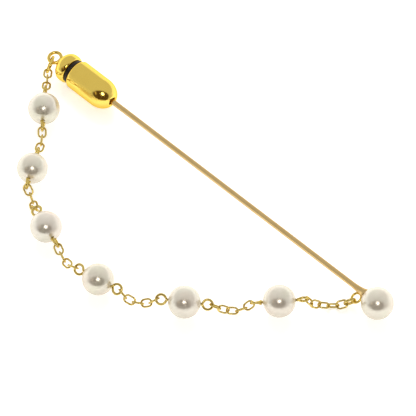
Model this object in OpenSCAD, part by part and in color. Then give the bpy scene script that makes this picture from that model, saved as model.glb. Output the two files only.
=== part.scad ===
// Pearl stick pin with a safety chain and a spring ball clutch.
// Millimetres. The pin lies flat: +X runs along the stem from the head pearl
// to the point, the safety chain lies on the +Y side, +Z is up. The origin is
// at the bottom centre of the whole piece of jewellery.

/* [Pin] */
// Head pearl diameter
head_pearl_d = 5.2; // [4.6:0.1:5.6]
// Stem diameter
stem_d = 0.9; // [0.8:0.02:1.0]
// Distance from the head pearl's centre to the clutch nose
nose_x = 59; // [58.8:0.1:59.2]
// How far the point reaches into the clutch
point_in = 7.4; // [6.8:0.1:7.8]
// Diameter of the peg that the head pearl is glued on
peg_d = 0.56; // [0.5:0.02:0.58]
// Outer diameter of the lug ring beside the head pearl
head_lug_d = 2.1; // [2.0:0.05:2.2]
// Wire diameter of that lug ring
head_lug_wire = 0.4; // [0.3:0.02:0.44]

/* [Safety chain] */
// Chain link length
link_l = 2.12; // [2.0:0.01:2.15]
// Chain link width
link_w = 1.5; // [1.35:0.05:1.6]
// Chain link wire diameter
link_wire = 0.32; // [0.22:0.02:0.34]
// Play between two links
link_play = 0.03; // [0.02:0.01:0.06]
// Outer diameter of the jump ring at the head
head_ring_d = 2.14; // [2.0:0.02:2.2]
// Wire diameter of the jump ring at the head
head_ring_wire = 0.44; // [0.3:0.02:0.44]
// Outer diameter of the jump ring at the clutch
clutch_ring_d = 3.1; // [2.95:0.05:3.15]
// Wire diameter of the jump ring at the clutch
clutch_ring_wire = 0.42; // [0.3:0.02:0.44]

/* [Pearl stations] */
// Pearl diameters, from the head towards the clutch
station_pearl_d = [5.2, 5.2, 5.1, 5.1, 5.0, 5.2]; // [4.8:0.1:5.2]
// Distance from the pearl's centre to each eye's centre
eye_at = 3.67; // [3.62:0.01:3.7]
// Eye centreline radius
eye_r = 0.78; // [0.7:0.01:0.8]
// Station wire diameter
eye_wire = 0.42; // [0.3:0.02:0.44]
// Radial play of a pearl on its wire
pearl_play = 0.04; // [0.02:0.01:0.08]

/* [Clutch] */
// Barrel diameter
barrel_d = 5; // [4.8:0.1:5.2]
// Barrel length
barrel_l = 8.6; // [8.5:0.1:8.8]
// Length of the rounded nose
nose_l = 3; // [2.6:0.1:3.2]
// Barrel wall
barrel_wall = 0.42; // [0.35:0.01:0.5]
// Mouth bore for the stem
mouth_d = 1.24; // [1.16:0.02:1.3]
// Gripping ball diameter
ball_d = 0.84; // [0.8:0.02:0.86]
// Half angle of the grip cone
cone_a = 14; // [12:1:15]
// Pull knob diameter
knob_d = 4.9; // [4.6:0.1:5]
// Cushion ring diameter
cushion_d = 4.26; // [4:0.02:4.4]
// Cushion ring thickness
cushion_t = 0.76; // [0.6:0.02:0.76]
// Outer diameter of the lug ring on the knob
knob_lug_d = 2.6; // [2.5:0.05:2.6]
// Wire diameter of the lug ring on the knob
knob_lug_wire = 0.55; // [0.5:0.01:0.56]
// Spring wire diameter
spring_wire = 0.2; // [0.16:0.01:0.22]
// Spring turns
spring_turns = 5; // [4:1:6]

/* [Hidden] */
gold = [0.88, 0.74, 0.3];
pale_gold = [0.84, 0.7, 0.42];
pearl_white = [0.93, 0.91, 0.86];
black = [0.1, 0.08, 0.07];
steel = [0.75, 0.76, 0.78];
brass_c = [0.78, 0.62, 0.28];

axis_z = head_pearl_d/2;
stem_r = stem_d/2;
// how the chain lies: [kind, heading, slope, turn of the near end, turn of
// the far end], in degrees, from the head lug to the knob lug
LIE = [
  ["head_ring", 54, -26, -70, -70],
  ["link", 52, -14, 30, 30], ["link", 50, 6, -75, -75], ["link", 47, 9, -10, -10],
  ["link", 58, 33, 65, 65], ["link", 53, 53, 5, 5],
  ["station", 46, -5, -80, -60],
  ["link", 57, -42, 55, 55], ["link", 56, -16, -55, -55], ["link", 47, 6, 5, 5],
  ["link", 46, 27, 70, 70], ["link", 43, 29, -35, -35],
  ["station", 39, 3, 40, 40],
  ["link", 41, -41, -40, -40], ["link", 35, -25, 45, 45], ["link", 28, -6, -50, -50],
  ["link", 24, 23, 35, 35], ["link", 12, 45, -55, -55],
  ["station", 10, -2, 35, 35],
  ["link", 4, -22, -50, -50], ["link", -7, -8, 30, 30], ["link", -17, 17, -70, -70],
  ["link", -20, 22, 15, 15],
  ["station", -20, -1, -70, 20],
  ["link", -35, -52, -45, -45], ["link", -33, -8, 20, 20], ["link", -22, 41, -80, -80],
  ["link", -11, 40, 15, 15],
  ["station", -57, -7, 80, 80],
  ["link", -60, -2, -5, -5], ["link", -52, 10, 85, 85], ["link", -43, 17, -5, -5],
  ["station", -48, 0, 85, 85],
  ["link", -51, -10, -5, -5], ["link", -47, -5, 85, 85], ["link", -50, 1, -5, -5],
  ["clutch_ring", -60, 7, 70, 70]
];
n_el = len(LIE);
link_rows = [for (i = [0:n_el - 1]) if (LIE[i][0] == "link") i];
station_rows = [for (i = [0:n_el - 1]) if (LIE[i][0] == "station") i];
function wire(i) = i < 0 ? head_lug_wire : LIE[i][0] == "link" ? link_wire :
  LIE[i][0] == "station" ? eye_wire : LIE[i][0] == "head_ring" ? head_ring_wire : clutch_ring_wire;
// half the distance between the wires at an element's two ends
function reach(i) = LIE[i][0] == "link" ? (link_l - link_wire)/2 :
  LIE[i][0] == "station" ? eye_at + eye_r :
  LIE[i][0] == "head_ring" ? (head_ring_d - head_ring_wire)/2 : (clutch_ring_d - clutch_ring_wire)/2;
function back(i, j) = ((wire(i) + wire(j))/2 + link_play)/2;
function dir(h, s) = [cos(s)*cos(h), cos(s)*sin(h), sin(s)];
head_lug_c = [3.6, 0.95, axis_z - 0.95];
head_lug_r = (head_lug_d - head_lug_wire)/2;
lie_start = head_lug_c + dir(86, -8)*(head_lug_r - back(-1, 0));
function centres(i, p) = i >= n_el ? [] :
  let (d = dir(LIE[i][1], LIE[i][2]),
       c = p + d*(reach(i) - back(i - 1, i)),
       q = i == n_el - 1 ? c : c + d*(reach(i) - back(i, i + 1)))
  concat([c], centres(i + 1, q));
C = centres(0, lie_start);

barrel_r = barrel_d/2;
knob_r = knob_d/2;
bore_r = barrel_r - barrel_wall;
ball_r = ball_d/2;
inner_stem_r = stem_r - 0.01;
ball_at_r = inner_stem_r + ball_r + 0.01;
ball_at_a = 3.6;
cone_r = ball_at_r + (ball_r + 0.01)/cos(cone_a);
cone_from = 2.4;
cone_to = 5;
cage_r = 1;
cage_bore_r = 0.55;
cage_stem_r = 0.9;
flange_a = 5.2;
bush_from = 7.8;
knob_from = barrel_l + 0.02 + cushion_t + 0.02;
knob_wide = knob_from + 1;
knob_dome = 1.75;
knob_to = knob_wide + knob_dome - 0.03;
lug_at = knob_to + 1.38;
x_low = -head_pearl_d/2;
x_high = nose_x + lug_at + knob_lug_d/2;
y_high = C[station_rows[2]][1] + station_pearl_d[2]/2;
y_low = -head_pearl_d/2;
shift = [-(x_low + x_high)/2, -(y_low + y_high)/2, 0];

// turns a profile of [position along the stem, radius] about the stem axis
module turned(profile, n = 128) {
  translate([0, 0, axis_z]) rotate([0, 90, 0])
    rotate_extrude($fn = n) polygon([for (p = profile) [p[1], p[0]]]);
}
module rod(from, to, r, n = 96) {
  translate([from, 0, axis_z]) rotate([0, 90, 0]) cylinder(r = r, h = to - from, $fn = n);
}
module ring(outer_d, wire_d, n = 96) {
  rotate_extrude($fn = n) translate([(outer_d - wire_d)/2, 0]) circle(r = wire_d/2, $fn = 48);
}
// puts a chain piece on its lie: its length runs along local X
module lie(i, turn) {
  translate(C[i]) rotate([0, -LIE[i][2], LIE[i][1]]) rotate([-turn, 0, 0]) children();
}

module stem_profile() {
  turned([[0.9, 0], [0.9, peg_d/2], [2.3, peg_d/2], [2.3, 0.8], [2.85, 0.79], [3.2, 0.68],
    [3.7, 0.58], [4.4, 0.5], [5.4, stem_r], [nose_x - 0.7, stem_r], [nose_x - 0.05, inner_stem_r],
    [nose_x + point_in - 2.2, inner_stem_r], [nose_x + point_in - 1.1, 0.36],
    [nose_x + point_in - 0.4, 0.2], [nose_x + point_in - 0.08, 0.07], [nose_x + point_in, 0]]);
}
module needle() {
  color(pale_gold) difference() {
    stem_profile();
    difference() {
      translate([0, 0, axis_z]) sphere(r = head_pearl_d/2 + 0.01, $fn = 128);
      rod(0.5, 2.7, peg_d/2);
    }
  }
}
module head_pearl() {
  color(pearl_white) difference() {
    translate([0, 0, axis_z]) sphere(r = head_pearl_d/2, $fn = 128);
    rod(0.7, 3, peg_d/2 + 0.02);
  }
}
module head_lug() {
  color(gold) translate(head_lug_c) rotate([-25, 0, 0]) rotate([0, 15, 0])
    ring(head_lug_d, head_lug_wire);
}
module jump_ring(i, d, w) {
  color(gold) lie(i, LIE[i][3]) ring(d, w);
}
module link(k) {
  r = (link_w - link_wire)/2;
  s = (link_l - link_w)/2;
  color(gold) lie(link_rows[k - 1], LIE[link_rows[k - 1]][3]) {
    for (m = [0, 180]) rotate([0, 0, m]) {
      translate([s, 0, 0]) rotate([0, 0, -90]) rotate_extrude(angle = 180, $fn = 72)
        translate([r, 0]) circle(r = link_wire/2, $fn = 48);
      translate([-s, r, 0]) rotate([0, 90, 0]) cylinder(r = link_wire/2, h = 2*s, $fn = 48);
    }
  }
}
module station_wire(k) {
  i = station_rows[k - 1];
  color(gold) {
    lie(i, LIE[i][3]) translate([-eye_at, 0, 0]) ring(2*eye_r + eye_wire, eye_wire);
    lie(i, LIE[i][4]) translate([eye_at, 0, 0]) ring(2*eye_r + eye_wire, eye_wire);
    lie(i, 0) translate([-(eye_at - eye_r), 0, 0]) rotate([0, 90, 0])
      cylinder(r = eye_wire/2, h = 2*(eye_at - eye_r), $fn = 48);
  }
}
module station_pearl(k) {
  r = station_pearl_d[k - 1]/2;
  color(pearl_white) lie(station_rows[k - 1], 0) rotate([0, 90, 0])
    rotate_extrude($fn = 128) intersection() {
      circle(r = r, $fn = 128);
      translate([eye_wire/2 + pearl_play, -r]) square([r, 2*r]);
    }
}

// radius of the rounded nose at a distance from the mouth
function nose_rad(a) = barrel_r - 2.24*(1 - sqrt(max(0, 1 - pow((nose_l - a)/nose_l, 2))));
module barrel_shell() {
  x0 = nose_x;
  rr = barrel_l;
  color(gold) turned(concat(
    [[x0 + 1.2, mouth_d/2], [x0 + 0.42, mouth_d/2], [x0 + 0.1, 0.82]],
    [for (t = [0.1:0.1:0.9]) [x0 + nose_l*t*t + 0.02, nose_rad(nose_l*t*t)]],
    [[x0 + nose_l, barrel_r], [x0 + rr - 0.45, barrel_r], [x0 + rr - 0.25, barrel_r - 0.06],
     [x0 + rr - 0.1, barrel_r - 0.18], [x0 + rr, barrel_r - 0.36], [x0 + rr, bore_r],
     [x0 + 2.2, bore_r], [x0 + 1.2, 1.4]]));
}
module grip_cone() {
  x0 = nose_x;
  k = tan(cone_a);
  color(steel) turned([
    [x0 + cone_from, cone_r + (cone_from - ball_at_a)*k], [x0 + cone_from, bore_r - 0.02],
    [x0 + cone_to, bore_r - 0.02], [x0 + cone_to, cone_r + (cone_to - ball_at_a)*k]]);
}
module ball(k) {
  color(steel) translate([nose_x + ball_at_a, 0, axis_z]) rotate([120*(k - 1) + 90, 0, 0])
    translate([0, ball_at_r, 0]) sphere(r = ball_r, $fn = 48);
}
module ball_cage() {
  x0 = nose_x;
  color(brass_c) difference() {
    turned([[x0 + 3, cage_bore_r], [x0 + 3, cage_r - 0.08], [x0 + 3.08, cage_r],
      [x0 + flange_a, cage_r], [x0 + flange_a, 1.62], [x0 + flange_a + 0.4, 1.62],
      [x0 + flange_a + 0.4, cage_stem_r], [x0 + knob_from + 1, cage_stem_r], [x0 + knob_from + 1, 0],
      [x0 + 8.3, 0], [x0 + 8.1, cage_bore_r]]);
    for (k = [1:3]) translate([nose_x + ball_at_a, 0, axis_z]) rotate([120*(k - 1) + 90, 0, 0])
      rotate([-90, 0, 0]) cylinder(r = ball_r + 0.03, h = 3, $fn = 48);
  }
}
spring_from = flange_a + 0.4 + spring_wire/2 + 0.02;
spring_to = bush_from - spring_wire/2 - 0.02;
spring_r = 1.45;
sp_n = 20;
module clutch_spring() {
  m = spring_turns*sp_n;
  s = 8;
  pts = [for (i = [0:m]) let (t = 360*i/sp_n,
      // the end turns lie flat
      u = i/m, f = u < 0.12 ? 0 : u > 0.88 ? 1 : (u - 0.12)/0.76,
      a = spring_from + 0.04*u + (spring_to - spring_from - 0.08)*f + (u < 0.12 ? 0.02*u : 0.04))
      for (j = [0:s - 1]) let (w = 360*j/s, r = spring_r + spring_wire/2*cos(w))
        [nose_x + a + spring_wire/2*sin(w), r*cos(t), axis_z + r*sin(t)]];
  faces = concat([[for (j = [0:s - 1]) j]], [[for (j = [s - 1:-1:0]) m*s + j]],
    [for (i = [0:m - 1], j = [0:s - 1]) let (a = i*s + j, b = i*s + (j + 1)%s) [a, a + s, b + s]],
    [for (i = [0:m - 1], j = [0:s - 1]) let (a = i*s + j, b = i*s + (j + 1)%s) [a, b + s, b]]);
  color(steel) polyhedron(points = pts, faces = faces, convexity = 10);
}
module end_bush() {
  x0 = nose_x;
  color(gold) turned([[x0 + bush_from, cage_stem_r + 0.05], [x0 + bush_from, bore_r - 0.01],
    [x0 + barrel_l - 0.02, bore_r - 0.01], [x0 + barrel_l - 0.02, cage_stem_r + 0.05]]);
}
module cushion_ring() {
  a = nose_x + barrel_l + 0.02;
  r = cushion_d/2;
  color(black) turned([[a, cage_stem_r + 0.02], [a, r - 0.26], [a + 0.06, r - 0.12], [a + 0.16, r - 0.03],
    [a + 0.28, r], [a + cushion_t - 0.28, r], [a + cushion_t - 0.16, r - 0.03],
    [a + cushion_t - 0.06, r - 0.12], [a + cushion_t, r - 0.26], [a + cushion_t, cage_stem_r + 0.02]]);
}
module knob() {
  a = nose_x + knob_from;
  w = nose_x + knob_wide;
  color(gold) turned(concat(
    [[a + 1.1, 0], [a + 1.1, cage_stem_r + 0.01], [a, cage_stem_r + 0.01], [a, knob_r - 0.3],
     [a + 0.08, knob_r - 0.17], [a + 0.25, knob_r - 0.08], [a + 0.55, knob_r - 0.02], [w, knob_r]],
    [for (t = [10:10:80]) [w + knob_dome*sin(t), knob_r*cos(t)]],
    [[nose_x + knob_to, 0.42], [nose_x + knob_to, 0]]));
}
module knob_lug() {
  color(gold) {
    translate([nose_x + lug_at, 0, axis_z]) rotate([-10, 0, 0]) ring(knob_lug_d, knob_lug_wire);
    turned([[nose_x + knob_to, 0], [nose_x + knob_to, 0.4], [nose_x + lug_at - (knob_lug_d - knob_lug_wire)/2, 0.3],
      [nose_x + lug_at - (knob_lug_d - knob_lug_wire)/2, 0]]);
  }
}

module set_down() { translate(shift) children(); }

set_down() needle();
set_down() head_pearl();
set_down() head_lug();
set_down() jump_ring(0, head_ring_d, head_ring_wire);  // head_ring
set_down() link(1);  // link_01
set_down() link(2);  // link_02
set_down() link(3);  // link_03
set_down() link(4);  // link_04
set_down() link(5);  // link_05
set_down() link(6);  // link_06
set_down() link(7);  // link_07
set_down() link(8);  // link_08
set_down() link(9);  // link_09
set_down() link(10);  // link_10
set_down() link(11);  // link_11
set_down() link(12);  // link_12
set_down() link(13);  // link_13
set_down() link(14);  // link_14
set_down() link(15);  // link_15
set_down() link(16);  // link_16
set_down() link(17);  // link_17
set_down() link(18);  // link_18
set_down() link(19);  // link_19
set_down() link(20);  // link_20
set_down() link(21);  // link_21
set_down() link(22);  // link_22
set_down() link(23);  // link_23
set_down() link(24);  // link_24
set_down() link(25);  // link_25
set_down() link(26);  // link_26
set_down() link(27);  // link_27
set_down() link(28);  // link_28
set_down() link(29);  // link_29
set_down() station_wire(1);  // station_wire_1
set_down() station_wire(2);  // station_wire_2
set_down() station_wire(3);  // station_wire_3
set_down() station_wire(4);  // station_wire_4
set_down() station_wire(5);  // station_wire_5
set_down() station_wire(6);  // station_wire_6
set_down() station_pearl(1);  // station_pearl_1
set_down() station_pearl(2);  // station_pearl_2
set_down() station_pearl(3);  // station_pearl_3
set_down() station_pearl(4);  // station_pearl_4
set_down() station_pearl(5);  // station_pearl_5
set_down() station_pearl(6);  // station_pearl_6
set_down() jump_ring(n_el - 1, clutch_ring_d, clutch_ring_wire);  // clutch_ring
set_down() barrel_shell();
set_down() grip_cone();
set_down() ball(1);  // ball_1
set_down() ball(2);  // ball_2
set_down() ball(3);  // ball_3
set_down() ball_cage();
set_down() clutch_spring();
set_down() end_bush();
set_down() cushion_ring();
set_down() knob();
set_down() knob_lug();
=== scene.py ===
import math

import bmesh
import bpy
import numpy as np
from mathutils import Matrix, Vector


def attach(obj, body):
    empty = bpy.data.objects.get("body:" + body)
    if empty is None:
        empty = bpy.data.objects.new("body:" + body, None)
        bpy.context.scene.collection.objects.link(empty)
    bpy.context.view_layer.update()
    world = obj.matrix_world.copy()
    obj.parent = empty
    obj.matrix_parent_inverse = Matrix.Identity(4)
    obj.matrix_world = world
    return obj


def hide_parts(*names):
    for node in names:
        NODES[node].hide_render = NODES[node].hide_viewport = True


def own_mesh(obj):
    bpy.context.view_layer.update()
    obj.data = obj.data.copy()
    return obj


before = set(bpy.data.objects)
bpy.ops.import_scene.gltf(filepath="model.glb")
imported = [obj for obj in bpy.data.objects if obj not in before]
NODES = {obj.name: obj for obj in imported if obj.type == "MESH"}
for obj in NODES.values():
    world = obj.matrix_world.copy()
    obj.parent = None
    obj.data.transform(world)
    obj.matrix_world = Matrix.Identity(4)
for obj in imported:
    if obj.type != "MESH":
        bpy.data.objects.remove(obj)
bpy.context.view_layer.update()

MM = 0.001

# ---------------------------------------------------------------- frame helpers
# Stem pieces are written in mm from the head pearl's centre, along the stem.


def verts_of(name):
    o = NODES[name]
    co = np.empty(len(o.data.vertices) * 3)
    o.data.vertices.foreach_get("co", co)
    co = co.reshape(-1, 3)
    m = np.array(o.matrix_world)
    return co @ m[:3, :3].T + m[:3, 3]


def centre_of(name):
    v = verts_of(name)
    return (v.min(0) + v.max(0)) / 2


HEAD = centre_of("head_pearl")
HEAD_X = float(verts_of("head_pearl")[:, 0].min()) + 0.0026
AXIS = Vector((HEAD_X, float(HEAD[1]), float(HEAD[2])))
NOSE = 59.0


def axes_of(v):
    """Centre and principal axes, longest first, from a symmetrical piece's vertices."""
    c = (v.min(0) + v.max(0)) / 2
    for _ in range(2):
        d = v - c
        w, e = np.linalg.eigh(d.T @ d)
        e = e[:, ::-1]
        p = d @ e
        c = c + e @ ((p.min(0) + p.max(0)) / 2)
    if np.linalg.det(e) < 0:
        e[:, 2] = -e[:, 2]
    return c, e


def matrix_from(c, x, y, z):
    m = Matrix.Identity(4)
    for k, a in enumerate((x, y, z)):
        for r in range(3):
            m[r][k] = float(a[r])
    for r in range(3):
        m[r][3] = float(c[r])
    return m


# ---------------------------------------------------------------- mesh builders


def rounded(profile, steps=5):
    """Rounds the corners of a profile. Each entry is (x, r) or (x, r, corner radius)."""
    out = []
    n = len(profile)
    for i, p in enumerate(profile):
        if len(p) < 3 or i in (0, n - 1):
            out.append((p[0], p[1]))
            continue
        b = Vector(p[:2])
        a = Vector(profile[i - 1][:2])
        c = Vector(profile[(i + 1) % n][:2])
        u, v = (a - b), (c - b)
        lu, lv = u.length, v.length
        u.normalize()
        v.normalize()
        ang = math.acos(max(-1, min(1, u.dot(v))))
        t = min(p[2] / math.tan(ang / 2), lu * 0.48, lv * 0.48)
        r = t * math.tan(ang / 2)
        mid = (u + v).normalized() * (r / math.sin(ang / 2)) + b
        s = b + u * t - mid
        e = b + v * t - mid
        a0 = math.atan2(s.y, s.x)
        a1 = math.atan2(e.y, e.x)
        d = (a1 - a0 + math.pi) % (2 * math.pi) - math.pi
        for k in range(steps + 1):
            q = a0 + d * k / steps
            out.append((mid.x + r * math.cos(q), mid.y + r * math.sin(q)))
    return out


def dense(profile, most=0.6):
    out = [profile[0]]
    for a, b in zip(profile, profile[1:]):
        n = max(1, int(math.ceil(math.hypot(b[0] - a[0], b[1] - a[1]) / most)))
        for k in range(1, n + 1):
            out.append((a[0] + (b[0] - a[0]) * k / n, a[1] + (b[1] - a[1]) * k / n))
    return out


def turned_mesh(name, profile, seg=128, closed=False, swell=None):
    """Turns a profile of (x, r) in mm about X. An open profile starts and ends on the axis."""
    bm = bmesh.new()
    rings = []
    for x, r in profile:
        if r < 1e-6:
            rings.append([bm.verts.new((x * MM, 0, 0))])
            continue
        ring = []
        for k in range(seg):
            a = 2 * math.pi * k / seg
            f = swell(x, r, a) if swell else 1.0
            ring.append(bm.verts.new((x * MM, r * MM * math.cos(a) * f, r * MM * math.sin(a) * f)))
        rings.append(ring)
    pairs = list(zip(rings, rings[1:]))
    if closed:
        pairs.append((rings[-1], rings[0]))
    for a, b in pairs:
        if len(a) == 1 and len(b) == 1:
            continue
        for k in range(seg):
            j = (k + 1) % seg
            if len(a) == 1:
                bm.faces.new((a[0], b[k], b[j]))
            elif len(b) == 1:
                bm.faces.new((a[k], b[0], a[j]))
            else:
                bm.faces.new((a[k], b[k], b[j], a[j]))
    bmesh.ops.recalc_face_normals(bm, faces=bm.faces)
    me = bpy.data.meshes.new(name)
    bm.to_mesh(me)
    bm.free()
    return me


def swept_mesh(name, path, radius, seg=16, closed=False, cap=3):
    """Sweeps a round wire along a path of points in mm. radius is a number or a list in mm."""
    p = [Vector(q) for q in path]
    n = len(p)
    rad = [radius] * n if not hasattr(radius, "__len__") else list(radius)
    tan = []
    for i in range(n):
        a = p[(i - 1) % n] if closed or i else p[0]
        b = p[(i + 1) % n] if closed or i < n - 1 else p[n - 1]
        tan.append((b - a).normalized())
    t = tan[0]
    u = t.orthogonal().normalized()
    frames = []
    for i in range(n):
        if i:
            q = tan[i - 1].rotation_difference(tan[i])
            u = (q @ u).normalized()
        v = tan[i].cross(u).normalized()
        frames.append((u.copy(), v))
    twist = 0.0
    if closed:
        q = tan[-1].rotation_difference(tan[0])
        uu = (q @ frames[-1][0]).normalized()
        twist = math.atan2(uu.dot(frames[0][1]), uu.dot(frames[0][0]))
    bm = bmesh.new()
    rings = []

    def ring(c, u, v, r, off):
        return [bm.verts.new((c + u * (r * math.cos(2 * math.pi * k / seg + off)) + v * (r * math.sin(2 * math.pi * k / seg + off))) * MM) for k in range(seg)]

    if not closed:
        for k in range(cap):
            e = math.pi / 2 * (k + 1) / (cap + 1)
            h = rad[0] * 0.45
            rings.append(ring(p[0] - tan[0] * (h * math.cos(e)), *frames[0], rad[0] * math.sin(e), 0))
    for i in range(n):
        rings.append(ring(p[i], *frames[i], rad[i], -twist * i / n if closed else 0))
    if not closed:
        for k in reversed(range(cap)):
            e = math.pi / 2 * (k + 1) / (cap + 1)
            h = rad[-1] * 0.45
            rings.append(ring(p[-1] + tan[-1] * (h * math.cos(e)), *frames[-1], rad[-1] * math.sin(e), 0))
    m = len(rings)
    for i in range(m if closed else m - 1):
        a, b = rings[i], rings[(i + 1) % m]
        for k in range(seg):
            j = (k + 1) % seg
            bm.faces.new((a[k], b[k], b[j], a[j]))
    if not closed:
        for r_, c, h, s in ((rings[0], p[0], rad[0], -1), (rings[-1], p[-1], rad[-1], 1)):
            tip = bm.verts.new((c + tan[0 if s < 0 else -1] * (s * h * 0.45)) * MM)
            for k in range(seg):
                bm.faces.new((r_[k], r_[(k + 1) % seg], tip))
    bmesh.ops.recalc_face_normals(bm, faces=bm.faces)
    me = bpy.data.meshes.new(name)
    bm.to_mesh(me)
    bm.free()
    return me


def place(name, me, matrix, body, nodes, mat, sharp=40):
    for f in me.polygons:
        f.use_smooth = True
    me.set_sharp_from_angle(angle=math.radians(sharp))
    o = bpy.data.objects.new(name, me)
    bpy.context.scene.collection.objects.link(o)
    o.matrix_world = matrix
    me.materials.append(mat)
    bpy.context.view_layer.update()
    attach(o, body)
    if nodes:
        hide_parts(*nodes)
    return o


STEM = Matrix.Translation(AXIS)


def stem_at(a):
    """Placement for a clutch piece written in mm from the clutch's nose plane."""
    return Matrix.Translation(AXIS + Vector((NOSE * MM, 0, 0)))


# ---------------------------------------------------------------- node helpers


class Tree:
    def __init__(self, tree):
        self.t = tree
        self.x = 0

    def add(self, kind, **props):
        n = self.t.nodes.new(kind)
        self.x += 180
        n.location = (self.x, 0)
        for k, v in props.items():
            setattr(n, k, v)
        return n

    def link(self, a, b):
        self.t.links.new(a, b)

    def put(self, sock, v):
        if hasattr(v, "links"):
            self.link(v, sock)
        else:
            sock.default_value = v

    def math(self, op, a, b=0.0, c=0.0, clamp=False):
        n = self.add("ShaderNodeMath", operation=op, use_clamp=clamp)
        self.put(n.inputs[0], a)
        self.put(n.inputs[1], b)
        self.put(n.inputs[2], c)
        return n.outputs[0]

    def dot(self, a, v):
        n = self.add("ShaderNodeVectorMath", operation="DOT_PRODUCT")
        self.put(n.inputs[0], a)
        self.put(n.inputs[1], v)
        return n.outputs["Value"]

    def scale(self, a, v):
        n = self.add("ShaderNodeVectorMath", operation="MULTIPLY")
        self.put(n.inputs[0], a)
        self.put(n.inputs[1], v)
        return n.outputs[0]

    def step(self, x, lo, hi, a=0.0, b=1.0, kind="SMOOTHSTEP"):
        n = self.add("ShaderNodeMapRange", interpolation_type=kind)
        n.clamp = True if kind == "LINEAR" else n.clamp
        self.put(n.inputs["Value"], x)
        self.put(n.inputs["From Min"], lo)
        self.put(n.inputs["From Max"], hi)
        self.put(n.inputs["To Min"], a)
        self.put(n.inputs["To Max"], b)
        return n.outputs["Result"]

    def mix(self, f, a, b, kind="MIX"):
        n = self.add("ShaderNodeMix", data_type="RGBA", blend_type=kind)
        self.put(n.inputs[0], f)
        self.put(n.inputs[6], a if hasattr(a, "links") else (*a, 1.0)[:4])
        self.put(n.inputs[7], b if hasattr(b, "links") else (*b, 1.0)[:4])
        return n.outputs[2]

    def noise(self, vec, scale, detail=2.0, rough=0.5, dist=0.0):
        n = self.add("ShaderNodeTexNoise")
        self.put(n.inputs["Vector"], vec)
        n.inputs["Scale"].default_value = scale
        n.inputs["Detail"].default_value = detail
        n.inputs["Roughness"].default_value = rough
        n.inputs["Distortion"].default_value = dist
        return n.outputs["Fac"]

    def ramp(self, f, stops):
        n = self.add("ShaderNodeValToRGB")
        el = n.color_ramp.elements
        while len(el) < len(stops):
            el.new(0.5)
        for e, (p, c) in zip(el, stops):
            e.position = p
            e.color = (*c, 1.0)
        self.put(n.inputs[0], f)
        return n.outputs[0]

    def bump(self, h, strength, distance):
        n = self.add("ShaderNodeBump")
        n.inputs["Strength"].default_value = strength
        n.inputs["Distance"].default_value = distance
        self.put(n.inputs["Height"], h)
        return n.outputs[0]


def new_material(name):
    m = bpy.data.materials.new(name)
    m.use_nodes = True
    t = Tree(m.node_tree)
    bsdf = m.node_tree.nodes["Principled BSDF"]
    coord = t.add("ShaderNodeTexCoord").outputs["Object"]
    return m, t, bsdf, coord


def gold(name, base, deep, rough=(0.07, 0.13), grain=(1, 1, 1), grain_scale=2500, bump=0.05, tarnish=0.25, seam=None, seam_size=0.35, edge=(0.85, 0.72, 0.40)):
    """Polished gold: hand-polish swirl, faint tarnish in patches, drawing or turning lines, and a solder seam."""
    m, t, b, co = new_material(name)
    patch = t.noise(co, 420, 3.0, 0.55)
    fine = t.noise(t.scale(co, grain), grain_scale, 4.0, 0.6)
    swirl = t.noise(co, 5200, 2.0, 0.5, 0.6)
    f = t.step(patch, 0.42, 0.72, 0.0, tarnish)
    col = t.mix(f, base, deep)
    col = t.mix(t.step(fine, 0.35, 0.65, 0.0, 0.10), col, deep)
    r = t.math("ADD", t.step(fine, 0.3, 0.7, rough[0], rough[1]), t.step(patch, 0.4, 0.75, 0.0, 0.03))
    if seam is not None:
        d = t.add("ShaderNodeVectorMath", operation="DISTANCE")
        t.put(d.inputs[0], co)
        d.inputs[1].default_value = seam
        wob = t.math("MULTIPLY_ADD", swirl, 0.12 * MM, -0.06 * MM)
        s = t.step(t.math("ADD", d.outputs["Value"], wob), seam_size * 0.55 * MM, seam_size * MM, 1.0, 0.0)
        col = t.mix(t.math("MULTIPLY", s, 0.45), col, (0.80, 0.66, 0.36))
        r = t.math("ADD", r, t.math("MULTIPLY", s, 0.09))
    t.put(b.inputs["Base Color"], col)
    t.put(b.inputs["Roughness"], r)
    b.inputs["Metallic"].default_value = 1.0
    # Specular Tint sets the colour of the grazing rims. The dark edge colours given for the stem, lug, rings, links and
    # station wire are painted shade: they stand in for the shadowed floor reflected at the wires' sides
    b.inputs["Specular Tint"].default_value = (*edge, 1.0)
    h = t.math("ADD", t.math("MULTIPLY", fine, 0.6), t.math("MULTIPLY", swirl, 0.4))
    t.put(b.inputs["Normal"], t.bump(h, bump, 0.01 * MM))
    return m


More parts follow.
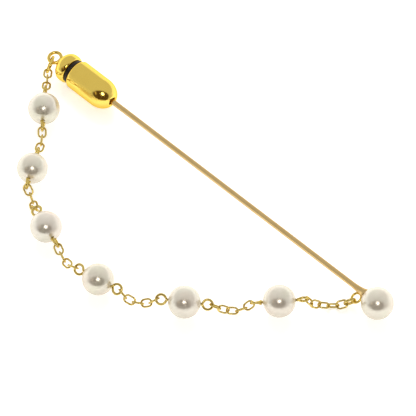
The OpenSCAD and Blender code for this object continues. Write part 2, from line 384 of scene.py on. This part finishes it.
def pearl_material(name, shift=0.0, tint=(0.82, 0.785, 0.69)):
    """Nacre: layered body colour, rosy and greenish overtones in soft patches, growth rings and tiny dimples."""
    m, t, b, co = new_material(name)
    off = t.add("ShaderNodeVectorMath", operation="ADD")
    t.put(off.inputs[0], co)
    off.inputs[1].default_value = (shift * MM, 2 * shift * MM, -shift * MM)
    p = off.outputs[0]
    big = t.noise(p, 260, 2.0, 0.5, 0.4)
    mid = t.noise(p, 900, 3.0, 0.55, 0.3)
    fine = t.noise(p, 5200, 3.0, 0.6)
    tones = t.ramp(big, [(0.30, (tint[0] * 1.0, tint[1] * 0.955, tint[2] * 0.95)), (0.50, tint), (0.70, (tint[0] * 0.965, tint[1] * 1.0, tint[2] * 0.955))])
    col = t.mix(t.step(mid, 0.45, 0.75, 0.0, 0.25), tones, (0.76, 0.69, 0.60))
    col = t.mix(t.step(fine, 0.60, 0.80, 0.0, 0.05), col, (0.88, 0.87, 0.82))
    sep = t.add("ShaderNodeSeparateXYZ")
    t.put(sep.inputs[0], co)
    wav = t.math("SINE", t.math("MULTIPLY_ADD", sep.outputs[0], 9000.0, t.math("MULTIPLY", mid, 9.0)))
    t.put(b.inputs["Base Color"], col)
    t.put(b.inputs["Roughness"], t.math("ADD", t.step(mid, 0.3, 0.7, 0.21, 0.26), t.step(fine, 0.4, 0.7, 0.0, 0.008)))
    b.inputs["Metallic"].default_value = 0.50
    b.inputs["Coat Weight"].default_value = 0.18
    b.inputs["Coat Roughness"].default_value = 0.12
    b.inputs["Coat IOR"].default_value = 1.5
    b.inputs["Specular Tint"].default_value = (0.82, 0.75, 0.65, 1.0)
    b.inputs["Coat Tint"].default_value = (1.0, 0.985, 0.96, 1.0)
    h = t.math("ADD", t.math("MULTIPLY", mid, 1.0), t.math("MULTIPLY", wav, 0.05))
    h = t.math("ADD", h, t.math("MULTIPLY", fine, 0.02))
    t.put(b.inputs["Normal"], t.bump(h, 0.02, 0.04 * MM))
    return m


def rubber_material(name):
    """Black cushion ring: moulded satin rubber, dusty brown-grey bloom, turned lines round the edge."""
    m, t, b, co = new_material(name)
    patch = t.noise(co, 900, 4.0, 0.6)
    fine = t.noise(co, 9000, 3.0, 0.6)
    col = t.mix(t.step(patch, 0.4, 0.7, 0.0, 0.7), (0.008, 0.006, 0.005), (0.030, 0.020, 0.014))
    col = t.mix(t.step(fine, 0.62, 0.78, 0.0, 0.35), col, (0.085, 0.06, 0.042))
    t.put(b.inputs["Base Color"], col)
    t.put(b.inputs["Roughness"], t.step(fine, 0.3, 0.7, 0.32, 0.46))
    b.inputs["Specular IOR Level"].default_value = 0.32
    sep = t.add("ShaderNodeSeparateXYZ")
    t.put(sep.inputs[0], co)
    lines = t.math("SINE", t.math("MULTIPLY", sep.outputs[0], 2 * math.pi / (0.07 * MM)))
    h = t.math("ADD", t.math("MULTIPLY", fine, 0.8), t.math("MULTIPLY", lines, 0.12))
    t.put(b.inputs["Normal"], t.bump(h, 0.25, 0.02 * MM))
    return m


def steel_material(name, base=(0.60, 0.60, 0.61), rough=(0.12, 0.24)):
    m, t, b, co = new_material(name)
    patch = t.noise(co, 700, 3.0, 0.55)
    lines = t.noise(t.scale(co, (9, 1, 1)), 2600, 3.0, 0.6)
    col = t.mix(t.step(patch, 0.4, 0.75, 0.0, 0.5), base, (base[0] * 0.72, base[1] * 0.70, base[2] * 0.66))
    t.put(b.inputs["Base Color"], col)
    t.put(b.inputs["Roughness"], t.step(lines, 0.3, 0.7, rough[0], rough[1]))
    b.inputs["Metallic"].default_value = 1.0
    t.put(b.inputs["Normal"], t.bump(lines, 0.08, 0.01 * MM))
    return m


# ---------------------------------------------------------------- materials
GOLD = (0.95, 0.70, 0.15)
GOLD_DEEP = (0.88, 0.60, 0.11)
STEM_C = (0.70, 0.51, 0.24)
STEM_D = (0.58, 0.40, 0.16)
CHAIN = (0.74, 0.58, 0.20)
CHAIN_D = (0.52, 0.38, 0.10)

# the stem's darker edge colour is painted shade on its grazing rims
m_stem = gold("stem_gold_polish", STEM_C, STEM_D, (0.12, 0.18), (0.12, 1, 1), 4200, 0.06, 0.30, edge=(0.62, 0.48, 0.26))
m_clutch = gold("clutch_gold_polish", GOLD, GOLD_DEEP, (0.11, 0.16), (8, 1, 1), 1600, 0.03, 0.16)
m_bush = gold("clutch_gold_bush", GOLD, GOLD_DEEP, (0.10, 0.18), (8, 1, 1), 1600, 0.06, 0.3)
# the dark edge colour (0.42, 0.30, 0.10) of the lug, rings, links and station wire is painted shade on their grazing
# rims
m_lug = gold("clutch_gold_lug", (0.84, 0.62, 0.16), CHAIN_D, (0.10, 0.15), (1, 1, 1), 3000, 0.04, 0.2, edge=(0.42, 0.30, 0.10))
m_ring = gold("chain_gold_ring", CHAIN, CHAIN_D, (0.12, 0.18), (1, 1, 1), 3000, 0.05, 0.25, seam=(0.00085, 0, 0), seam_size=0.30, edge=(0.42, 0.30, 0.10))
m_big_ring = gold("chain_gold_big_ring", (0.84, 0.64, 0.18), CHAIN_D, (0.10, 0.16), (1, 1, 1), 3000, 0.04, 0.25, seam=(0.00134, 0, 0), seam_size=0.30, edge=(0.42, 0.30, 0.10))
m_link = gold("chain_gold_link", CHAIN, CHAIN_D, (0.14, 0.20), (1, 1, 1), 3600, 0.06, 0.3, seam=(0, 0.00059, 0), seam_size=0.28, edge=(0.42, 0.30, 0.10))
m_wire = gold("chain_gold_wire", CHAIN, CHAIN_D, (0.12, 0.18), (0.2, 1, 1), 3600, 0.05, 0.25, edge=(0.42, 0.30, 0.10))
m_steel = steel_material("steel_hardened")
m_spring = steel_material("steel_spring", (0.55, 0.55, 0.57), (0.15, 0.28))
m_brass = gold("inner_brass_turned", (0.72, 0.50, 0.20), (0.52, 0.33, 0.12), (0.16, 0.28), (9, 1, 1), 1800, 0.1, 0.5)
m_rubber = rubber_material("cushion_rubber")

# ---------------------------------------------------------------- the pin


def needle():
    s = 2.61
    cup = [(math.sqrt(s * s - r * r), r) for r in (0.28, 0.36, 0.45, 0.54, 0.63, 0.72, 0.79)]
    flare = [(2.62, 0.815), (2.74, 0.81), (2.85, 0.79), (2.98, 0.755), (3.2, 0.68), (3.42, 0.63), (3.7, 0.58), (4.0, 0.535), (4.4, 0.5), (4.9, 0.467), (5.4, 0.45)]
    shaft = [(x, 0.45) for x in np.linspace(6.0, 58.6, 60)]
    tip = [(58.9, 0.45), (58.95, 0.44), (61.5, 0.44), (64.2, 0.44), (64.7, 0.415), (65.3, 0.36), (65.7, 0.285), (66.0, 0.2), (66.2, 0.125), (66.32, 0.07), (66.38, 0.03), (66.4, 0)]
    p = [(0.9, 0), (0.9, 0.26), (0.94, 0.28), (1.8, 0.28)] + cup + flare + shaft + tip
    me = turned_mesh("needle", [(float(a), float(b)) for a, b in p], 64)
    return place("pin_stem", me, STEM, "pin", ["needle"], m_stem, 50)


def pearl_mesh(name, r, bore, depth=None, seed=0.0, seg=144, rows=96):
    """A drilled pearl, very slightly out of round, with a rounded edge at each drill hole."""
    e = math.asin((bore + 0.05) / r)
    start = 0.0 if depth else e

    def edge(sign):
        x0 = r * math.cos(e)
        return [(sign * (x0 + 0.004), bore + 0.03), (sign * (x0 - 0.012), bore + 0.008), (sign * (x0 - 0.05), bore)]

    prof = []
    for k in range(rows + 1):
        a = math.pi - start - (math.pi - start - e) * k / rows
        prof.append((r * math.cos(a), abs(r * math.sin(a)) if not (depth and k == 0) else 0.0))
    prof += edge(1)
    if depth:
        prof += [(r - depth * 0.5, bore), (r - depth + 0.12, bore), (r - depth, 0)]
        closed = False
    else:
        prof += [(r * 0.5, bore), (0, bore), (-r * 0.5, bore)] + list(reversed(edge(-1)))
        closed = True

    def swell(x, q, a):
        u = x / r
        return 1 - 0.0022 * (1 + math.sin(2 * a + seed)) * (1 - u * u) - 0.0012 * (1 + math.cos(3 * a + 4 * u + seed))

    return turned_mesh(name, prof, seg, closed, swell)


needle()
place("head_pearl_nacre", pearl_mesh("head_pearl", 2.6, 0.30, 1.8, 0.7), STEM, "pin", ["head_pearl"], pearl_material("pearl_nacre_head", 0.0, (0.82, 0.785, 0.69)), 60)


def ring_piece(node, body, mean, wire, mat, gap=True, spin=0.0, extra=None):
    c, e = axes_of(verts_of(node))
    z = e[:, 2]
    y = np.cross(z, np.array([0.0, 0.0, 1.0]))
    y = y / np.linalg.norm(y)
    x = np.cross(y, z)
    m = matrix_from(c, x, y, z) @ Matrix.Rotation(spin, 4, "Z")
    n = 88
    path, rad = [], []
    for k in range(n):
        a = 2 * math.pi * k / n
        path.append((mean * math.cos(a), mean * math.sin(a), 0))
        d = (a + math.pi) % (2 * math.pi) - math.pi
        cut = math.exp(-(d / 0.055) ** 2)
        rad.append(wire / 2 * (1 - (0.10 * cut if gap else -0.05 * math.exp(-(d / 0.2) ** 2)) + 0.008 * math.sin(3 * a)))
    me = swept_mesh(node, path, rad, 20, True)
    return place(node + "_wire", me, m, body, [node], mat)


def head_lug():
    """The lug is a ring on the stem with a small solder fillet where it touches the flare."""
    c, e = axes_of(verts_of("head_lug"))
    z = e[:, 2]
    stem_dir = np.array([0.0, -1.0, 0.0]) + 0
    to_stem = np.array([AXIS.x + 3.6 * MM, AXIS.y, AXIS.z]) - c
    x = to_stem - z * float(to_stem @ z)
    x = x / np.linalg.norm(x)
    y = np.cross(z, x)
    m = matrix_from(c, x, y, z)
    n, mean, wire = 88, 0.85, 0.4
    path, rad = [], []
    for k in range(n):
        a = 2 * math.pi * k / n
        d = (a + math.pi) % (2 * math.pi) - math.pi
        path.append((mean * math.cos(a), mean * math.sin(a), 0))
        rad.append(wire / 2 * (1 + 0.22 * math.exp(-(d / 0.45) ** 2) + 0.006 * math.sin(4 * a)))
    me = swept_mesh("head_lug", path, rad, 20, True)
    return place("head_lug_wire", me, m, "pin", ["head_lug"], m_lug)


head_lug()
ring_piece("head_ring", "head_ring", 0.85, 0.44, m_ring, True, 2.6)
ring_piece("clutch_ring", "clutch_ring", (3.1 - 0.42) / 2, 0.42, m_big_ring, True, 2.2)

# ---------------------------------------------------------------- chain


def link_mesh(name, k):
    """An oval link bent from round wire: slightly squeezed sides, and a solder bead where its ends meet."""
    r, s, w = 0.59, 0.31, 0.16
    n = 26
    path = []
    for i in range(n + 1):
        a = -math.pi / 2 + math.pi * i / n
        path.append((s + r * math.cos(a), r * math.sin(a), 0))
    m = 8
    for i in range(1, m):
        path.append((s - 2 * s * i / m, r, 0))
    for i in range(n + 1):
        a = math.pi / 2 + math.pi * i / n
        path.append((-s + r * math.cos(a), r * math.sin(a), 0))
    for i in range(1, m):
        path.append((-s + 2 * s * i / m, -r, 0))
    rad = []
    for x, y, _ in path:
        bead = 0.09 * math.exp(-((x - 0.02 * math.sin(k * 2.1)) / 0.10) ** 2) * (1 if y > 0.4 else 0)
        rad.append(w * (1 + bead + 0.010 * math.sin(7 * x + k) - 0.03 * math.exp(-((abs(x) - 0.88) / 0.08) ** 2)))
    return swept_mesh(name, path, rad, 16, True)


for k in range(1, 30):
    node = "link_%02d" % k
    c, e = axes_of(verts_of(node))
    m = matrix_from(c, e[:, 0], e[:, 1], np.cross(e[:, 0], e[:, 1]))
    place(node + "_wire", link_mesh(node, k), m, node, [node], m_link)

EYE_AT, EYE_R, EYE_W = 3.67, 0.78, 0.42


def eye_half(turn, sign):
    """Half a station wire, from the pearl's middle outwards: rod, tight bend, then a full eye whose end lies beside the neck."""
    cy, cz = math.cos(turn), math.sin(turn)
    side = 0.20
    flat = [(x, 0.0, 0.0) for x in np.linspace(0.0, 2.56, 12)]
    b = 0.30
    for i in range(1, 8):
        a = -math.pi / 2 + (math.pi / 2) * i / 8
        q = i / 8
        flat.append((2.58 + b * math.cos(a), b + b * math.sin(a), side * q * q * (3 - 2 * q)))
    a0 = math.pi - math.asin(b / EYE_R)
    a1 = -math.pi + 0.20
    n = 60
    for i in range(n + 1):
        q = i / n
        a = a0 + (a1 - a0) * q
        flat.append((EYE_AT + EYE_R * math.cos(a), EYE_R * math.sin(a), side - (side + 0.25) * q))
    return [(sign * x, y * cy - z * cz, y * cz + z * cy) for x, y, z in flat]


def station(k, spd):
    wn, pn = "station_wire_%d" % k, "station_pearl_%d" % k
    v = verts_of(wn)
    pv = verts_of(pn)
    c = (pv.min(0) + pv.max(0)) / 2
    d = v - c
    w, e = np.linalg.eigh(d.T @ d)
    x = e[:, 2]
    for _ in range(3):
        px = d @ x
        hi, lo = d[px > 3.0 * MM], d[px < -3.0 * MM]
        a = (hi.min(0) + hi.max(0)) / 2 - (lo.min(0) + lo.max(0)) / 2
        # the far tips of both eyes fix the axis
        far_hi = hi[(hi @ x) > (hi @ x).max() - 0.02 * MM].mean(0)
        far_lo = lo[(lo @ x) < (lo @ x).min() + 0.02 * MM].mean(0)
        x = far_hi - far_lo
        x = x / np.linalg.norm(x)
    up = np.array([0.0, 0.0, 1.0])
    y = np.cross(up, x)
    y = y / np.linalg.norm(y)
    z = np.cross(x, y)
    turns = []
    for s in (1, -1):
        part = d[(d @ x) * s > 3.1 * MM]
        q = np.stack([part @ y, part @ z], 1)
        ww, ee = np.linalg.eigh(q.T @ q)
        wide = ee[:, 1]
        turns.append(math.atan2(wide[1], wide[0]))
    t_hi, t_lo = turns
    lo_half = eye_half(t_lo + math.pi, -1)
    hi_half = eye_half(t_hi, 1)
    path = list(reversed(lo_half)) + hi_half[1:]
    me = swept_mesh(wn, path, EYE_W / 2, 18, False)
    m = matrix_from(c, x, y, z)
    place(wn + "_bent", me, m, "station_%d" % k, [wn], m_wire, 50)
    r = spd / 2
    tints = [(0.82, 0.78, 0.695), (0.81, 0.785, 0.70), (0.82, 0.775, 0.68), (0.82, 0.78, 0.715), (0.805, 0.78, 0.685), (0.82, 0.78, 0.695)]
    me = pearl_mesh(pn, r, 0.24, None, 1.3 * k)
    place(pn + "_nacre", me, m @ Matrix.Rotation(0.9 * k, 4, "X"), "pearl_%d" % k, [pn], pearl_material("pearl_nacre_%d" % k, 3.1 * k, tints[k - 1]), 60)


for k, dia in enumerate([5.2, 5.2, 5.1, 5.1, 5.0, 5.2], 1):
    station(k, dia)

# ---------------------------------------------------------------- clutch


def nose_rad(a):
    return 2.5 - 2.24 * (1 - math.sqrt(max(0.0, 1 - ((3 - a) / 3) ** 2)))


def barrel():
    outer = [(1.2, 0.62), (0.42, 0.62), (0.30, 0.66), (0.20, 0.72), (0.13, 0.77), (0.10, 0.83)]
    for a in np.concatenate([np.linspace(0.105, 0.6, 14), np.linspace(0.7, 3.0, 24)]):
        if nose_rad(a) > 0.86:
            outer.append((float(a), nose_rad(a)))
    outer += [(x, 2.5) for x in np.linspace(3.5, 8.15, 12)] + [(8.22, 2.494), (8.29, 2.475), (8.35, 2.44), (8.42, 2.39), (8.47, 2.345), (8.5, 2.32), (8.535, 2.25), (8.57, 2.19), (8.6, 2.14), (8.602, 2.11), (8.6, 2.08)]
    inner = [(x, 2.08) for x in np.linspace(8.3, 2.3, 10)] + [(2.2, 2.06), (1.9, 1.87), (1.5, 1.6), (1.22, 1.41), (1.2, 1.36), (1.2, 0.9)]
    me = turned_mesh("barrel_shell", [(float(a), float(b)) for a, b in outer + inner], 160, True)
    return place("clutch_barrel", me, stem_at(0), "barrel", ["barrel_shell"], m_clutch, 50)


barrel()

me = turned_mesh("end_bush", rounded([(7.8, 0.95), (7.8, 2.07), (7.9, 2.07), (8.58, 2.07, 0.08), (8.58, 0.95, 0.06), (8.2, 0.95)], 4), 128, True)
place("clutch_end_bush", me, stem_at(0), "barrel", ["end_bush"], m_bush, 40)


def cushion():
    """A soft washer with crowned edges and a fine groove round its middle."""
    bore = float(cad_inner("cushion_ring"))
    o = 2.13
    prof = [(9.36, bore), (9.38, bore + 0.04), (9.38, 1.5), (9.375, o - 0.30), (9.345, o - 0.16), (9.28, o - 0.05), (9.18, o - 0.005), (9.08, o), (9.03, o - 0.012), (9.00, o - 0.045), (8.97, o - 0.012), (8.92, o), (8.82, o - 0.005), (8.72, o - 0.05), (8.655, o - 0.16), (8.625, o - 0.30), (8.62, 1.5), (8.62, bore + 0.04), (8.64, bore), (9.0, bore)]
    me = turned_mesh("cushion_ring", prof, 128, True)
    return place("clutch_cushion", me, stem_at(0), "knob", ["cushion_ring"], m_rubber, 50)


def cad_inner(node):
    v = verts_of(node)
    r = np.hypot(v[:, 1] - AXIS.y, v[:, 2] - AXIS.z)
    return r.min() / MM


cushion()


def knob():
    prof = [(9.4, 0.93), (9.4, 2.15), (9.42, 2.2), (9.48, 2.28), (9.56, 2.33), (9.65, 2.37), (9.78, 2.405), (9.95, 2.43), (10.17, 2.445), (10.4, 2.45)]
    t = 2
    while t < 80:
        q = math.radians(t)
        prof.append((10.4 + 1.75 * math.sin(q), 2.45 * math.cos(q)))
        t += 2.6
    prof += [(12.12, 0.42), (12.14, 0.2), (12.15, 0.0)]
    prof = [(10.5, 0.0), (10.5, 0.88), (10.46, 0.91), (9.45, 0.91)] + prof
    me = turned_mesh("knob", prof, 160)
    return place("clutch_knob", me, stem_at(0), "knob", ["knob"], m_clutch, 50)


knob()


def knob_lug():
    """A thick soldered ring on the knob's crown. Its foot and solder are one piece with it."""
    mean, wire, at = (2.6 - 0.55) / 2, 0.55, 13.5
    tilt = math.radians(-10)
    n = 96
    path, rad = [], []
    for k in range(n):
        a = 2 * math.pi * k / n
        path.append((mean * math.cos(a), mean * math.sin(a), 0))
        d = (a - math.pi + math.pi) % (2 * math.pi) - math.pi
        rad.append(wire / 2 * (1 + 0.16 * math.exp(-(d / 0.34) ** 2)))
    me = swept_mesh("knob_lug", path, rad, 22, True)
    m = Matrix.Translation(AXIS + Vector(((NOSE + at) * MM, 0, 0))) @ Matrix.Rotation(tilt, 4, "X")
    o = place("knob_lug_ring", me, m, "knob", ["knob_lug"], m_lug)
    foot = [(12.08, 0.0), (12.08, 0.52), (12.13, 0.50), (12.18, 0.43), (12.25, 0.37), (12.34, 0.335), (12.44, 0.33), (12.52, 0.35), (12.56, 0.30), (12.58, 0.16), (12.58, 0.0)]
    me = turned_mesh("knob_lug_foot", foot, 64)
    place("knob_lug_foot", me, stem_at(0), "knob", None, m_lug, 50)


knob_lug()


def spring():
    """Closed and flattened end coils, with open coils between them."""
    turns, a0, a1, mean, wire = 5.0, 5.72, 7.68, 1.45, 0.2
    n = int(turns * 40)
    path = []
    for i in range(n + 1):
        t = i / n
        lead = t * turns
        if lead < 1:
            x = a0 + 0.11 * lead * lead
        elif lead > turns - 1:
            x = a1 - 0.11 * (turns - lead) ** 2
        else:
            x = a0 + 0.11 + (a1 - a0 - 0.22) * (lead - 1) / (turns - 2)
        a = 2 * math.pi * lead
        path.append((x, mean * math.cos(a), mean * math.sin(a)))
    me = swept_mesh("clutch_spring", path, wire / 2, 12, False)
    o = place("clutch_spring_wire", me, stem_at(0), "barrel", ["clutch_spring"], m_spring)
    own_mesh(o)
    return o


spring()

# CAD pieces that stay: the grip cone, the balls and their cage, all inside the barrel
for node, mat in (("grip_cone", m_steel), ("ball_1", m_steel), ("ball_2", m_steel), ("ball_3", m_steel), ("ball_cage", m_brass)):
    o = NODES[node]
    if len(o.material_slots) == 0:
        o.data.materials.append(mat)
    for s in o.material_slots:
        s.material = mat

# ---------------------------------------------------------------- floor, light and camera
RIGHT = Vector((-0.70843, -0.70578, 0.0)).normalized()
CAM = Vector((-0.36107, 0.35052, 0.61284))
TARGET = Vector((-0.000213, -0.01169, -0.002468))
FWD = (TARGET - CAM).normalized()
UP = RIGHT.cross(FWD).normalized()
TO_CAM = -FWD
FAR = Vector((FWD.x, FWD.y, 0)).normalized()

bm = bmesh.new()
bmesh.ops.create_grid(bm, x_segments=8, y_segments=8, size=1.6)
me = bpy.data.meshes.new("floor")
bm.to_mesh(me)
bm.free()
floor = bpy.data.objects.new("floor", me)
bpy.context.scene.collection.objects.link(floor)
floor.location = (0, 0, -0.00002)
fm = bpy.data.materials.new("floor_paper")
fm.use_nodes = True
ft = Tree(fm.node_tree)
fb = fm.node_tree.nodes["Principled BSDF"]
fco = ft.add("ShaderNodeTexCoord").outputs["Object"]
fn = ft.noise(fco, 900, 3.0, 0.5)
ft.put(fb.inputs["Base Color"], ft.mix(ft.step(fn, 0.3, 0.7), (0.80, 0.80, 0.795), (0.82, 0.82, 0.82)))
fb.inputs["Roughness"].default_value = 0.95
fb.inputs["Specular IOR Level"].default_value = 0.1
fb.inputs["Emission Color"].default_value = (1.0, 0.995, 0.985, 1.0)
fb.inputs["Emission Strength"].default_value = 0.54
geo = ft.add("ShaderNodeNewGeometry").outputs["Backfacing"]
tr = ft.add("ShaderNodeBsdfTransparent").outputs[0]
mx = ft.add("ShaderNodeMixShader")
ft.put(mx.inputs[0], geo)
ft.link(fb.outputs[0], mx.inputs[1])
ft.link(tr, mx.inputs[2])
ft.link(mx.outputs[0], fm.node_tree.nodes["Material Output"].inputs[0])
me.materials.append(fm)

# Studio: white sweep behind, grey ceiling, dark camera side with its small lamp
world = bpy.data.worlds.new("studio")
world.use_nodes = True
bpy.context.scene.world = world
wt = Tree(world.node_tree)
bg = world.node_tree.nodes["Background"]
d = wt.add("ShaderNodeTexCoord").outputs["Generated"]
nrm = wt.add("ShaderNodeVectorMath", operation="NORMALIZE")
wt.put(nrm.inputs[0], d)
d = nrm.outputs[0]
u = wt.dot(d, tuple(RIGHT))
v = wt.dot(d, tuple(UP))
w = wt.dot(d, tuple(TO_CAM))
z = wt.dot(d, (0, 0, 1))
far = wt.dot(d, tuple(FAR))
ua = wt.math("MULTIPLY", wt.math("ARCTAN2", u, w), 180 / math.pi)
va = wt.math("MULTIPLY", wt.math("ARCTAN2", v, w), 180 / math.pi)
el = wt.math("MULTIPLY", wt.math("ARCSINE", z), 180 / math.pi)
eu = wt.math("POWER", wt.math("ABSOLUTE", wt.math("DIVIDE", wt.math("ADD", ua, 8.0), 54.0)), 2.6)
ev = wt.math("POWER", wt.math("ABSOLUTE", wt.math("DIVIDE", wt.math("ADD", va, 24.0), 44.0)), 2.6)
blob = wt.step(wt.math("ADD", eu, ev), 0.72, 1.30, 1.0, 0.0)
blob = wt.math("MULTIPLY", blob, wt.step(w, 0.02, 0.1))
sweep = wt.math("MULTIPLY", wt.step(el, 13.0, 24.0, 1.0, 0.0), wt.step(far, -0.35, 0.15))
col = wt.mix(sweep, (0.68, 0.665, 0.63), (1.28, 1.27, 1.24))
col = wt.mix(blob, col, (0.090, 0.052, 0.018))
ang = wt.math("MULTIPLY", wt.math("ARCCOSINE", wt.math("MINIMUM", w, 0.99999)), 180 / math.pi)
lamp = wt.step(ang, 7.0, 11.5, 1.0, 0.0)
col = wt.mix(lamp, col, (6.0, 5.8, 5.4))
# a small warm reflector to the left of the camera
us = wt.math("POWER", wt.math("DIVIDE", wt.math("ADD", ua, 42.0), 3.5), 2.0)
vs = wt.math("POWER", wt.math("DIVIDE", wt.math("ADD", va, 2.0), 12.0), 2.0)
warm = wt.math("MULTIPLY", wt.step(wt.math("ADD", us, vs), 0.5, 1.4, 1.0, 0.0), wt.step(w, 0.02, 0.1))
col = wt.mix(warm, col, (0.85, 0.66, 0.40))
wt.put(bg.inputs["Color"], col)
bg.inputs["Strength"].default_value = 1.0

key = bpy.data.lights.new("soft_top", "AREA")
key.shape = "DISK"
key.size = 0.9
key.energy = 9.0
ko = bpy.data.objects.new("soft_top", key)
bpy.context.scene.collection.objects.link(ko)
ko.location = (FAR.x * 0.9, FAR.y * 0.9, 0.80)
ko.visible_glossy = False
ko.rotation_euler = (Vector((0, 0, 0)) - ko.location).to_track_quat("-Z", "Y").to_euler()

cam = bpy.data.cameras.new("camera")
cam.lens = 432.7
cam.sensor_width = 36.0
cam.clip_start = 0.01
cam.clip_end = 10.0
cam.dof.use_dof = False
co_ = bpy.data.objects.new("camera", cam)
bpy.context.scene.collection.objects.link(co_)
rot = Matrix((RIGHT, UP, -FWD)).transposed().to_4x4()
co_.matrix_world = Matrix.Translation(CAM) @ rot
bpy.context.scene.camera = co_
bpy.context.scene.view_settings.view_transform = "Standard"
bpy.context.scene.view_settings.look = "None"

bpy.context.view_layer.update()
